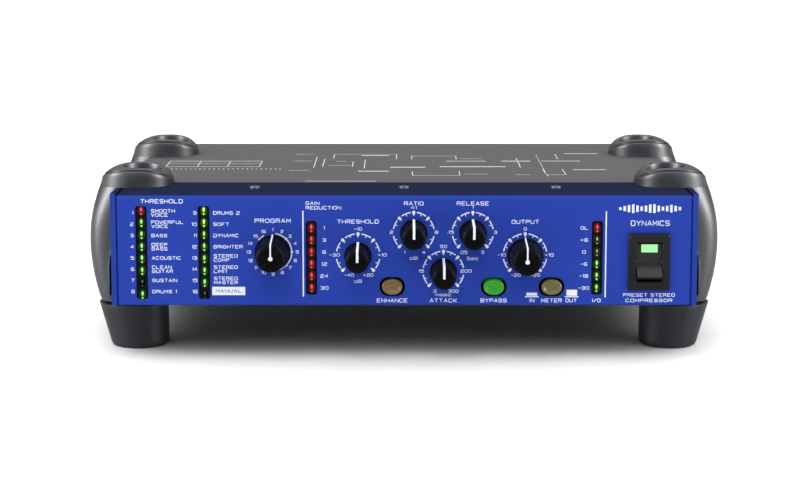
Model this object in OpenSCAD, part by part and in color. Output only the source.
// Half-rack desktop audio compressor: metal case, front panel with dials, buttons and
// light bars, two side bumpers that make four stacking pads, four feet, boards and sockets.
// +Z is up, the front panel faces -Y, and the origin is under the middle of the whole object.

/* [Case] */
// Width of the metal case
case_w = 215; // [205:1:230]
// Depth from the front panel's face to the rear panel's face
case_d = 150; // [140:1:180]
// Height of the metal case
case_h = 41; // [41:0.5:44]
// Gap between the table and the case
foot_h = 21; // [19:0.5:24]
// Thickness of the folded steel sheet
sheet_t = 1.5; // [1.2:0.1:1.6]
// Depth of the blue ledge that the front panel folds back over the top
ledge_d = 32.5; // [30:0.5:36]
// Depth of the short flange that the front panel folds back underneath
lip_d = 11.5; // [8:0.5:14]
// Width of the trim strip at each end of the front panel
trim_w = 1.9; // [1.5:0.1:2.2]
// Gap between a trim strip and the front panel
trim_gap = 0.7; // [0.4:0.1:0.9]

/* [Bumpers] */
// Height of a corner pad above the case
pad_h = 7; // [5:0.5:9]
// Radius of a corner pad
pad_r = 12; // [11:0.5:13]
// Distance of a corner pad's centre from the middle plane
pad_x = 101; // [99:0.5:102]
// How much longer than round a corner pad is, across the case
pad_stretch = 2.4; // [1:0.1:4]
// Distance of the front pads' centres behind the panel's face
pad_front = 30.3; // [29:0.1:34]
// Distance between front and rear pads
pad_pitch = 86.4; // [80:0.2:92]
// Radius of the dish in a corner pad
dish_r = 7.4; // [6:0.1:8]
// Half width of the object at the bumpers' widest point
bumper_x = 119.5; // [118:0.5:120]
// Height of the bumpers' lower edge
bumper_z = 18.1; // [18:0.1:19]
// Height of the bumpers' waist between two pads
waist_z = 57; // [50:0.5:60]

/* [Feet] */
// Radius of a foot at the table
foot_r = 10.9; // [9:0.1:11]
// Distance of a foot's centre from the middle plane
foot_x = 101.7; // [99:0.1:102]
// How far a foot spreads outwards at its top
foot_flare = 4.7; // [3:0.1:5.5]

/* [Controls] */
// Radius of the two large dials at the panel
dial_r = 6.6; // [6:0.1:7]
// Radius of the four small dials at the panel
small_dial_r = 5; // [4.8:0.05:5.2]
// Length of a dial
dial_l = 13.2; // [12.5:0.1:13.2]
// Radius of a dial's shaft
shaft_r = 3; // [2.5:0.05:3]
// Radial running clearance of a shaft
shaft_gap = 0.05; // [0.02:0.01:0.08]
// Width of an oval button
button_w = 7.5; // [7:0.1:8]
// Height of an oval button
button_h = 5.6; // [5:0.1:6]
// How far an oval button stands out of the panel
button_proud = 1.6; // [1:0.1:2.5]
// Width of the light bars beside the settings list
bar_w = 4.3; // [4:0.1:4.6]
// Distance between the lights in the settings list
light_pitch = 4.47; // [4.2:0.01:4.6]
// Distance between the lights of a level meter
meter_pitch = 4.47; // [4.2:0.01:4.6]

/* [Rear] */
// Radius of a jack socket's bore
jack_r = 3.2; // [3.2:0.05:3.3]
// Depth of a jack socket's bore
jack_depth = 31; // [30:0.5:32]
// Height of the rear sockets above the case's underside
socket_z = 15; // [14.5:0.5:17]

/* [Hidden] */
$fn = 48;
// How far the dials stand out in front, and the jack sockets behind
front_proud = 14;
rear_proud = 4;
front_y = front_proud - (case_d + front_proud + rear_proud) / 2;
rear_y = front_y + case_d;
case_top = foot_h + case_h;
half_w = case_w / 2;
panel_half = half_w - trim_w - trim_gap;
inner_y = front_y + sheet_t;
ledge_y = front_y + ledge_d;
cover_gap = 0.3;
cover_y = ledge_y + cover_gap;
floor_z = foot_h + sheet_t;
roof_z = case_top - sheet_t;
wall_x = half_w - sheet_t;
back_y = rear_y - sheet_t;
ends = [-1, 1];

// Pads, and the outline of a bumper: each pair is a height and the half width there
pad_ys = [front_y + pad_front, front_y + pad_front + pad_pitch];
corner_r = 11.5;
bulge = [[bumper_z, -2.9], [foot_h + 2, -1.7], [foot_h + 11, -0.4], [foot_h + 20, 0],
         [foot_h + 31, -1.1], [case_top, -3.9], [case_top + 3.5, -4.9]];
waist_in = 1.5;
dish_deep = 3.5;
dish_x = pad_x - 1.3;
pad_drop = 3.4;
crest_w = 8;
slit_w = 4;
slit_h = 20;

// Boards, standing on spacers
board_t = 1.6;
main_z = floor_z + 4.5;
spacer_xs = [-90, 0, 90];
spacer_ys = [front_y + 42, front_y + 112];
control_y = front_y + 15;

// Places on the front panel: distance from the middle, then height above the panel's edge
program_at = [-48.1, 20.1];
threshold_at = [-16.9, 18.9];
ratio_at = [3.5, 27.35];
attack_at = [14.4, 12.9];
release_at = [25.1, 27.35];
output_at = [44.3, 18.9];
pots_at = [threshold_at, ratio_at, attack_at, release_at, output_at];
enhance_at = [-4.4, 7.2];
bypass_at = [32.9, 7.1];
meter_at = [54.1, 7.1];
buttons_at = [enhance_at, bypass_at, meter_at];
list_xs = [-96.2, -73.3];
meter_xs = [-34, 70.7];
list_z = 19.8;
meter_z = 17.85;
list_slot_h = 34.7;
meter_slot_h = 27.6;
slot_r = 1.1;
rocker_at = [89.7, 16.5];

// Dials and their pots
dial_cap_r = 5.1;
small_cap_r = 4.2;
dial_gap = 0.8;
bush_r = 3.7;
bush_hole_r = 3.9;
pot_w = 9.6;
pot_h = 11;
pot_d = 6;
dial_socket = 10.2;

// Buttons
hole_w = 9.4;
hole_h = 7;
stem_r = 1.5;
switch_w = 7;
switch_d = 6;
button_travel = 2;

// Rocker switch
rocker_bezel = [15.2, 20.8, 1.5];
rocker_body = [13.2, 18.6, 20];
rocker_w = 9;
rocker_r = 7;
rocker_clear = 0.3;
rocker_pin_r = 1;
rocker_back = 0.8;

// Lights
light_r = 1;
light_proud = 0.5;

// Rear sockets, seen from the front: distances from the middle
jack_body = [15.6, 14.4, 30];
bush_out_r = 4.4;
input_xs = [-20, 0];
output_xs = [26, 46];
sidechain_x = -48;
level_x = -72;
inlet_x = 86;
nut_t = 2.2;

// Puts children on the front panel: their +Z points out of the panel, their +Y points up
module on_panel(at) {
  translate([at[0], front_y, foot_h + at[1]]) rotate([90, 0, 0]) children();
}

// Puts children on the rear panel: their +Z points out of the rear, their +Y points up
module on_rear(x) {
  translate([x, rear_y, foot_h + socket_z]) rotate([90, 0, 180]) children();
}

// A rectangle with rounded corners, around its middle
module rounded_bar(w, h, r) {
  square([w - 2 * r, h], center = true);
  square([w, h - 2 * r], center = true);
  for (sx = ends, sy = ends)
    translate([sx * (w / 2 - r), sy * (h / 2 - r)]) circle(r);
}

// A bar whose ends are almost round
module oval(w, h) { rounded_bar(w, h, h / 2 - 0.2); }

// Side view of the front panel: face, ledge over the top and lip underneath
module bezel_profile() {
  fold_r = 1.2;
  difference() {
    union() {
      translate([fold_r, 0]) square([ledge_d - fold_r, case_h]);
      translate([0, fold_r]) square([fold_r, case_h - 2 * fold_r]);
      for (z = [fold_r, case_h - fold_r]) translate([fold_r, z]) circle(fold_r);
    }
    translate([sheet_t, sheet_t]) square([ledge_d, case_h - 2 * sheet_t]);
    translate([lip_d, -1]) square([ledge_d, case_h - 2]);
  }
}

module front_bezel() {
  cut = 4 * sheet_t;
  color([0.16, 0.25, 0.70]) difference() {
    translate([-panel_half, front_y, foot_h]) rotate([90, 0, 90])
      linear_extrude(2 * panel_half) bezel_profile();
    for (at = concat(pots_at, [program_at]))
      on_panel(at) translate([0, 0, -cut / 2]) cylinder(r = bush_hole_r, h = cut);
    for (at = buttons_at)
      on_panel(at) translate([0, 0, -cut / 2]) linear_extrude(cut) oval(hole_w, hole_h);
    for (x = list_xs)
      on_panel([x, list_z]) translate([0, 0, -cut / 2])
        linear_extrude(cut) rounded_bar(bar_w, list_slot_h, slot_r);
    for (x = meter_xs)
      on_panel([x, meter_z]) translate([0, 0, -cut / 2])
        linear_extrude(cut) rounded_bar(bar_w - 0.2, meter_slot_h, slot_r);
    on_panel(rocker_at)
      cube([rocker_body[0] + 0.2, rocker_body[1] + 0.2, cut], center = true);
    for (at = ledge_screw_xy())
      translate([at[0], at[1], roof_z - 1]) cylinder(r = 1.3, h = 4);
  }
}

// A strip of the case's side that closes one end of the front panel
module trim(side) {
  x = side > 0 ? half_w - trim_w : -half_w;
  color([0.18, 0.27, 0.66]) {
    translate([x, front_y, foot_h]) cube([trim_w, ledge_d, case_h]);
    translate([x, front_y, case_top]) cube([trim_w, 16.5, 0.5]);
  }
}
module trim_left() { trim(-1); }
module trim_right() { trim(1); }

function ledge_screw_xy() = [for (x = [-56, 0, 57]) [x, ledge_y - 13.5]];

// The bracket under the ledge that the front panel and the cover are screwed to
module front_brace() {
  brace_half = half_w - trim_w;
  brace_y = front_y + 14;
  brace_d = 25;
  color([0.62, 0.64, 0.66]) difference() {
    union() {
      translate([-brace_half, brace_y, roof_z - sheet_t])
        cube([2 * brace_half, brace_d, sheet_t]);
      for (s = ends)
        translate([s * (brace_half - sheet_t / 2) - sheet_t / 2, brace_y, foot_h + 20])
          cube([sheet_t, brace_d, case_h - 20 - 2 * sheet_t]);
    }
    for (at = ledge_screw_xy())
      translate([at[0], at[1], roof_z - 4]) cylinder(r = 1.3, h = 6);
  }
}

module chassis_tray() {
  tray_y = front_y + lip_d + cover_gap;
  color([0.10, 0.10, 0.11]) difference() {
    union() {
      translate([-panel_half, tray_y, foot_h])
        cube([2 * panel_half, ledge_d - lip_d, sheet_t]);
      translate([-half_w, cover_y, foot_h]) cube([case_w, rear_y - cover_y, sheet_t]);
      for (s = ends)
        translate([s * (half_w - sheet_t / 2) - sheet_t / 2, cover_y, foot_h])
          cube([sheet_t, rear_y - cover_y, case_h - sheet_t]);
    }
    for (s = ends, y = pad_ys)
      translate([s * foot_x, y, foot_h - 1]) cylinder(r = 1.8, h = 4);
    for (s = ends, y = bumper_screw_ys())
      translate([s * half_w, y, bumper_screw_z]) rotate([0, 90, 0])
        cylinder(r = 1.7, h = 8, center = true);
  }
}

bumper_screw_z = foot_h + 24;
function bumper_screw_ys() = [pad_ys[0] + 12, pad_ys[0] + 43.2, pad_ys[0] + 74.4];

module top_cover() {
  flange_x = wall_x - 0.2 - sheet_t;
  color([0.16, 0.16, 0.16]) {
    translate([-half_w, cover_y, roof_z]) cube([case_w, rear_y - cover_y, sheet_t]);
    for (s = ends)
      translate([s > 0 ? flange_x : -flange_x - sheet_t, front_y + 50, roof_z - 8])
        cube([sheet_t, 84, 8]);
  }
}

module rear_panel() {
  panel_w = 2 * (wall_x - 0.2);
  cut = 3 * sheet_t;
  color([0.12, 0.12, 0.13]) difference() {
    translate([-panel_w / 2, back_y, floor_z]) cube([panel_w, sheet_t, case_h - 2 * sheet_t]);
    for (x = concat(input_xs, output_xs, [sidechain_x]))
      on_rear(x) cylinder(r = bush_out_r + 0.2, h = 2 * cut, center = true);
    on_rear(level_x) cylinder(r = 2.9, h = 2 * cut, center = true);
    on_rear(inlet_x) cylinder(r = 4.7, h = 2 * cut, center = true);
  }
}

// One level of a bumper's outline between two places along the case
module bumper_slice(z, out, y1, y2) {
  for (y = [y1, y2])
    translate([bumper_x + out - corner_r, y, z]) cylinder(r = corner_r, h = 0.01, $fn = 32);
}

// The column under one pad, with the pad on top; the pad's top falls away on both sides
module bumper_column(y) {
  hull() {
    for (b = bulge) bumper_slice(b[0], b[1], y, y);
    for (s = ends)
      translate([pad_x + s * pad_stretch / 2, y, case_top])
        cylinder(r = pad_r, h = pad_h - pad_drop, $fn = 32);
    translate([pad_x + 1 - crest_w / 2, y - pad_r + 0.6, case_top])
      cube([crest_w, 2 * pad_r - 1.2, pad_h]);
  }
}

// A bumper on the right-hand side; the left-hand one is its mirror image
module bumper() {
  y1 = pad_ys[0];
  y2 = pad_ys[1];
  color([0.20, 0.21, 0.23]) difference() {
    union() {
      bumper_column(y1);
      bumper_column(y2);
      hull() {
        for (b = bulge)
          if (b[0] < waist_z - 6) bumper_slice(b[0], b[1] - waist_in, y1, y2);
        bumper_slice(waist_z - 3, -waist_in - 1.5, y1, y2);
        bumper_slice(waist_z, -waist_in - 4.5, y1, y2);
      }
    }
    translate([0, front_y, 0]) cube([half_w, case_d, case_top]);
    translate([half_w - 0.01, y1 - 20, foot_h]) cube([slit_w, 18, slit_h]);
    for (y = pad_ys)
      translate([dish_x, y, case_top + pad_h - dish_deep]) cylinder(r = dish_r, h = dish_deep + 1);
    for (y = bumper_screw_ys())
      translate([half_w, y, bumper_screw_z]) rotate([0, 90, 0]) cylinder(r = 1.5, h = 12, center = true);
  }
}
module bumper_right() { bumper(); }
module bumper_left() { mirror([1, 0, 0]) bumper(); }

// A foot: upright on its inner side, spreading outwards towards its top
module foot(side, y) {
  seam = 1.2;
  top = bumper_z - seam;
  color([0.22, 0.23, 0.25]) translate([side * foot_x, y, 0]) difference() {
    union() {
      hull() {
        translate([0, 0, 1]) cylinder(r = foot_r, h = top - 1, $fn = 32);
        cylinder(r = foot_r - 0.8, h = 1, $fn = 32);
        translate([side * foot_flare, 0, top - 0.5]) cylinder(r = foot_r, h = 0.5, $fn = 32);
      }
      translate([-side * 3.2, 0, top]) cylinder(r = 8, h = foot_h - top);
    }
    translate([0, 0, -1]) cylinder(r = 1.8, h = foot_h + 2);
    translate([0, 0, -1]) cylinder(r = 4.5, h = 9);
  }
}
module foot_front_left() { foot(-1, pad_ys[0]); }
module foot_front_right() { foot(1, pad_ys[0]); }
module foot_rear_left() { foot(-1, pad_ys[1]); }
module foot_rear_right() { foot(1, pad_ys[1]); }

// A pan-head screw that points down from its head's underside, with a cross recess
module screw(head_r, head_h, shank_r, shank_l) {
  difference() {
    cylinder(r = head_r, h = head_h);
    for (a = [0, 90]) rotate(a)
      translate([0, 0, head_h]) cube([head_r, 0.6, 1], center = true);
  }
  translate([0, 0, -shank_l]) cylinder(r = shank_r, h = shank_l);
}

module foot_screws() {
  color("silver") for (s = ends, y = pad_ys)
    translate([s * foot_x, y, 8]) rotate([180, 0, 0]) screw(3.6, 2.2, 1.6, foot_h - 8 + 5);
}

module foot_nuts() {
  color("silver") for (s = ends, y = pad_ys)
    translate([s * foot_x, y, floor_z]) difference() {
      cylinder(r = 3.4, h = 2.4, $fn = 6);
      translate([0, 0, -1]) cylinder(r = 1.65, h = 5);
    }
}

module bumper_screws() {
  color("silver") for (s = ends, y = bumper_screw_ys())
    translate([s * wall_x, y, bumper_screw_z]) rotate([0, -90 * s, 0]) screw(2.8, 1.8, 1.45, 6);
}

module ledge_screws() {
  color([0.14, 0.18, 0.42]) for (at = ledge_screw_xy())
    translate([at[0], at[1], case_top]) screw(1.9, 0.5, 1.2, 2.8);
}

module main_board() {
  color([0.10, 0.33, 0.16]) difference() {
    translate([-100, front_y + 36, main_z]) cube([200, back_y - front_y - 37, board_t]);
    for (x = spacer_xs, y = spacer_ys)
      translate([x, y, main_z - 1]) cylinder(r = 1.6, h = 4);
  }
}

module control_board() {
  color([0.10, 0.33, 0.16])
    translate([-103, control_y, foot_h + 3.5]) cube([183, board_t, case_h - 8]);
}

module board_spacers() {
  color([0.80, 0.68, 0.36]) for (x = spacer_xs, y = spacer_ys)
    translate([x, y, floor_z]) difference() {
      cylinder(r = 3.2, h = main_z - floor_z, $fn = 6);
      translate([0, 0, 0.5]) cylinder(r = 1.4, h = 8);
    }
}

module board_screws() {
  color("silver") for (x = spacer_xs, y = spacer_ys)
    translate([x, y, main_z + board_t]) screw(2.7, 1.8, 1.35, 5);
}

// A dial: a skirt at the panel, a tapered grip and a cap with a notch on its
// pointer line; its socket takes the shaft
module dial(at, r, cap_r) {
  skirt_h = 2;
  edge = 0.6;
  notch = [0.8, 1.2, 0.3];
  color([0.05, 0.05, 0.06]) on_panel(at) translate([0, 0, dial_gap]) {
    difference() {
      union() {
        cylinder(r = r, h = skirt_h);
        translate([0, 0, skirt_h]) cylinder(r1 = r - 0.4, r2 = cap_r, h = dial_l - skirt_h - edge);
        translate([0, 0, dial_l - edge]) cylinder(r1 = cap_r, r2 = cap_r - edge, h = edge);
      }
      translate([0, 0, -1]) cylinder(r = shaft_r, h = dial_socket + 1);
      translate([-notch[0] / 2, cap_r - edge - notch[1], dial_l - notch[2]]) cube(notch * 2);
    }
  }
}
module program_knob() { dial(program_at, dial_r, dial_cap_r); }
module threshold_knob() { dial(threshold_at, small_dial_r, small_cap_r); }
module ratio_knob() { dial(ratio_at, small_dial_r, small_cap_r); }
module attack_knob() { dial(attack_at, small_dial_r, small_cap_r); }
module release_knob() { dial(release_at, small_dial_r, small_cap_r); }
module output_knob() { dial(output_at, dial_r, dial_cap_r); }

// Distances behind the panel's face to the front and the back of a pot's body
pot_front = control_y - pot_d - front_y;

module dial_shaft(at) {
  color([0.75, 0.76, 0.78]) on_panel(at) translate([0, 0, -pot_front - 1.5])
    cylinder(r = shaft_r, h = pot_front + 1.5 + dial_gap + dial_socket - 0.2);
}
module program_shaft() { dial_shaft(program_at); }
module threshold_shaft() { dial_shaft(threshold_at); }
module ratio_shaft() { dial_shaft(ratio_at); }
module attack_shaft() { dial_shaft(attack_at); }
module release_shaft() { dial_shaft(release_at); }
module output_shaft() { dial_shaft(output_at); }

// A pot or encoder body with its bush, soldered to the control board
module pot(at, w, h) {
  on_panel(at) difference() {
    union() {
      translate([-w / 2, -h / 2, -pot_front - pot_d]) cube([w, h, pot_d]);
      translate([0, 0, -pot_front]) cylinder(r = bush_r, h = pot_front - 0.1);
    }
    translate([0, 0, -pot_front - 1.8]) cylinder(r = shaft_r + shaft_gap, h = 40);
  }
}

module control_pots() {
  color([0.25, 0.27, 0.30]) for (at = pots_at) pot(at, pot_w, pot_h);
}
module program_encoder() {
  color([0.30, 0.30, 0.33]) pot(program_at, 12, 12);
}

// An oval button: dished cap, neck through the panel and a stem into its switch
module button(at) {
  cap_back = 5.5;
  stem_end = control_y - front_y - 3;
  on_panel(at) {
    difference() {
      translate([0, 0, -cap_back])
        linear_extrude(cap_back + button_proud) oval(button_w, button_h);
      translate([0, 0, button_proud + 11.6]) sphere(12);
    }
    translate([0, 0, -stem_end]) cylinder(r = stem_r, h = stem_end - cap_back + 0.5);
  }
}
module enhance_button() { color([0.45, 0.36, 0.12]) button(enhance_at); }
module bypass_button() { color([0.25, 0.70, 0.22]) button(bypass_at); }
module meter_button() { color([0.42, 0.36, 0.16]) button(meter_at); }

module button_switches() {
  depth = control_y - front_y;
  color([0.15, 0.15, 0.16]) for (at = buttons_at) on_panel(at) difference() {
    translate([-switch_w / 2, -switch_w / 2, -depth]) cube([switch_w, switch_w, switch_d]);
    translate([0, 0, -depth + 0.6]) cylinder(r = stem_r + shaft_gap, h = 20);
  }
}

// A black light bar: a nose that fills the panel's slot, a flange behind it, and the holes
module light_bar(x, zc, w, h, count, pitch) {
  on_panel([x, zc]) difference() {
    union() {
      translate([0, 0, -sheet_t - 2])
        linear_extrude(sheet_t + 2 - 0.7) rounded_bar(w - 0.2, h - 0.2, slot_r - 0.1);
      translate([0, 0, -sheet_t - 2]) linear_extrude(2) rounded_bar(w + 2, h + 2, slot_r);
    }
    for (i = [0 : count - 1])
      translate([0, (i - (count - 1) / 2) * pitch, -10]) cylinder(r = light_r + 0.05, h = 20);
  }
}

module list_light_bars() {
  color([0.04, 0.05, 0.04]) for (x = list_xs)
    light_bar(x, list_z, bar_w, list_slot_h, 8, light_pitch);
}
module meter_light_bars() {
  color([0.04, 0.05, 0.04]) for (x = meter_xs)
    light_bar(x, meter_z, bar_w - 0.2, meter_slot_h, 6, meter_pitch);
}

// A round-nosed light that stands on the control board
module light(x, z) {
  depth = control_y - front_y;
  on_panel([x, z]) {
    translate([0, 0, -depth]) cylinder(r = light_r, h = depth - light_proud - light_r);
    translate([0, 0, -light_proud - light_r]) sphere(light_r);
  }
}

module list_lights() {
  color([0.25, 0.85, 0.20]) for (x = list_xs, i = [0 : 7])
    light(x, list_z + (i - 3.5) * light_pitch);
}
module meter_lights() {
  color([0.85, 0.15, 0.12]) for (x = meter_xs, i = [0 : 5])
    light(x, meter_z + (i - 2.5) * meter_pitch);
}

// The rocker switch's fixed part: a raised bezel, and a body that clips into the panel
module power_switch_frame() {
  pocket = 12;
  color([0.05, 0.05, 0.06]) on_panel(rocker_at) difference() {
    union() {
      translate([-rocker_bezel[0] / 2, -rocker_bezel[1] / 2, 0]) cube(rocker_bezel);
      translate([-rocker_body[0] / 2, -rocker_body[1] / 2, -rocker_body[2]]) cube(rocker_body);
    }
    translate([-rocker_w / 2 - 0.25, -rocker_r - rocker_clear, -pocket])
      cube([rocker_w + 0.5, 2 * (rocker_r + rocker_clear), pocket + 5]);
    translate([0, 0, rocker_bezel[2] - rocker_back]) rotate([0, 90, 0])
      cylinder(r = rocker_pin_r + shaft_gap, h = rocker_w + 2.9, center = true);
  }
}

// Side view of the rocker: x runs up the panel, y out of it, measured from the hinge pin
module rocker_profile() {
  intersection() {
    circle(rocker_r);
    polygon([[-5.5, -6], [5.5, -6], [rocker_r, -0.5], [rocker_r, rocker_back - 0.5],
             [0.4, rocker_back - 0.5], [-0.6, rocker_back - 0.2], [-rocker_r, 3.4], [-rocker_r, -0.5]]);
  }
}

module power_rocker() {
  color([0.06, 0.06, 0.07]) on_panel(rocker_at)
    translate([0, 0, rocker_bezel[2] - rocker_back]) {
      difference() {
        translate([-rocker_w / 2, 0, 0]) rotate([90, 0, 90])
          linear_extrude(rocker_w) rocker_profile();
        translate([0, 5.15, 0]) cube([6, 3, 4], center = true);
      }
      rotate([0, 90, 0]) cylinder(r = rocker_pin_r, h = rocker_w + 2.6, center = true);
    }
}

module rocker_lens() {
  color([0.65, 0.95, 0.68]) on_panel(rocker_at)
    translate([0, 5.15, rocker_bezel[2] - rocker_back - 2 + (rocker_back - 0.35 + 2) / 2])
      cube([6, 3, rocker_back - 0.35 + 2], center = true);
}

module switch_terminals() {
  color([0.80, 0.68, 0.36]) for (z = [-6, 0, 6])
    on_panel([rocker_at[0], rocker_at[1] + z])
      translate([-2.4, -0.4, -rocker_body[2] - 7]) cube([4.8, 0.8, 7]);
}

// A jack socket: body behind the rear panel, threaded bush through it, bore for the plug
module jack() {
  difference() {
    union() {
      translate([-jack_body[0] / 2, -jack_body[1] / 2, -sheet_t - jack_body[2]]) cube(jack_body);
      translate([0, 0, -sheet_t]) cylinder(r = bush_out_r, h = sheet_t + rear_proud);
    }
    translate([0, 0, rear_proud - jack_depth]) cylinder(r = jack_r, h = jack_depth + 1);
  }
}
module input_jacks() { color([0.10, 0.10, 0.11]) for (x = input_xs) on_rear(x) jack(); }
module output_jacks() { color([0.10, 0.10, 0.11]) for (x = output_xs) on_rear(x) jack(); }
module sidechain_jack() { color([0.10, 0.10, 0.11]) on_rear(sidechain_x) jack(); }

module jack_nuts() {
  color("silver") for (x = concat(input_xs, output_xs, [sidechain_x]))
    on_rear(x) difference() {
      union() {
        cylinder(r = 7, h = 0.6);
        cylinder(r = 6.4, h = nut_t, $fn = 6);
      }
      translate([0, 0, -1]) cylinder(r = bush_out_r + 0.05, h = 6);
    }
}

module level_button() {
  color([0.10, 0.10, 0.11]) on_rear(level_x) {
    translate([0, 0, -sheet_t - 1.5]) cylinder(r = 2.5, h = sheet_t + 1.5 + 3);
    translate([0, 0, -sheet_t - 6]) cylinder(r = 1.2, h = 5);
  }
}

module level_switch() {
  color([0.30, 0.30, 0.32]) on_rear(level_x) difference() {
    translate([-4, -jack_body[1] / 2, -sheet_t - 14]) cube([8, 11, 10]);
    translate([0, 0, -sheet_t - 9]) cylinder(r = 1.2 + shaft_gap, h = 10);
  }
}

// The low-voltage inlet: a round nose in the rear panel, with a contact pin inside
module power_inlet() {
  color([0.06, 0.06, 0.07]) on_rear(inlet_x) {
    difference() {
      union() {
        translate([-5, -jack_body[1] / 2, -sheet_t - 13]) cube([10, 12.2, 13]);
        translate([0, 0, -sheet_t]) cylinder(r = 4.5, h = sheet_t + 1);
      }
      translate([0, 0, -9.5]) cylinder(r = 3.15, h = 12);
    }
    translate([0, 0, -9.6]) cylinder(r = 1, h = 9);
  }
}

module capacitors() {
  top = main_z + board_t;
  color([0.12, 0.16, 0.30]) for (x = [50, 64], y = [-4, 10, 24])
    translate([x, y, top]) cylinder(r = 5, h = 16);
}

module chips() {
  top = main_z + board_t;
  color([0.07, 0.07, 0.08]) for (x = [-80 : 22 : 30], y = [-12, 12])
    translate([x - 5, y - 3.2, top]) cube([10, 6.4, 3.4]);
}

// The flat cable from the control board to the main board, an S-shaped fold
module ribbon_cable() {
  t = 1;
  r = 4;
  y0 = control_y + board_t;
  z0 = main_z + board_t;
  span = 22;
  color([0.60, 0.60, 0.62]) translate([-20, y0, z0]) rotate([90, 0, 90]) linear_extrude(28) {
    translate([0, 12]) square([span - r, t]);
    translate([span - r, 12 + t - r]) intersection() {
      difference() {
        circle(r);
        circle(r - t);
      }
      square(r);
    }
    translate([span - t, 0]) square([t, 12 + t - r]);
  }
}

module regulator() {
  top = main_z + board_t;
  color([0.10, 0.10, 0.11]) for (x = [84, 96])
    translate([x - 4.5, front_y + 62, top + 3]) cube([9, 4.5, 15]);
}

module heat_sink() {
  top = main_z + board_t;
  color([0.70, 0.71, 0.73]) {
    translate([76, front_y + 66.5, top]) cube([24, 2, 20]);
    for (i = [0 : 5])
      translate([76 + i * 4.4, front_y + 68.5, top]) cube([2, 12, 20]);
  }
}

front_bezel();
trim_left();
trim_right();
front_brace();
chassis_tray();
top_cover();
rear_panel();
bumper_left();
bumper_right();
foot_front_left();
foot_front_right();
foot_rear_left();
foot_rear_right();
foot_screws();
foot_nuts();
bumper_screws();
ledge_screws();
main_board();
control_board();
board_spacers();
board_screws();
program_knob();
threshold_knob();
ratio_knob();
attack_knob();
release_knob();
output_knob();
program_shaft();
threshold_shaft();
ratio_shaft();
attack_shaft();
release_shaft();
output_shaft();
control_pots();
program_encoder();
enhance_button();
bypass_button();
meter_button();
button_switches();
list_light_bars();
meter_light_bars();
list_lights();
meter_lights();
power_switch_frame();
power_rocker();
rocker_lens();
switch_terminals();
input_jacks();
output_jacks();
sidechain_jack();
jack_nuts();
level_button();
level_switch();
power_inlet();
capacitors();
chips();
ribbon_cable();
regulator();
heat_sink();
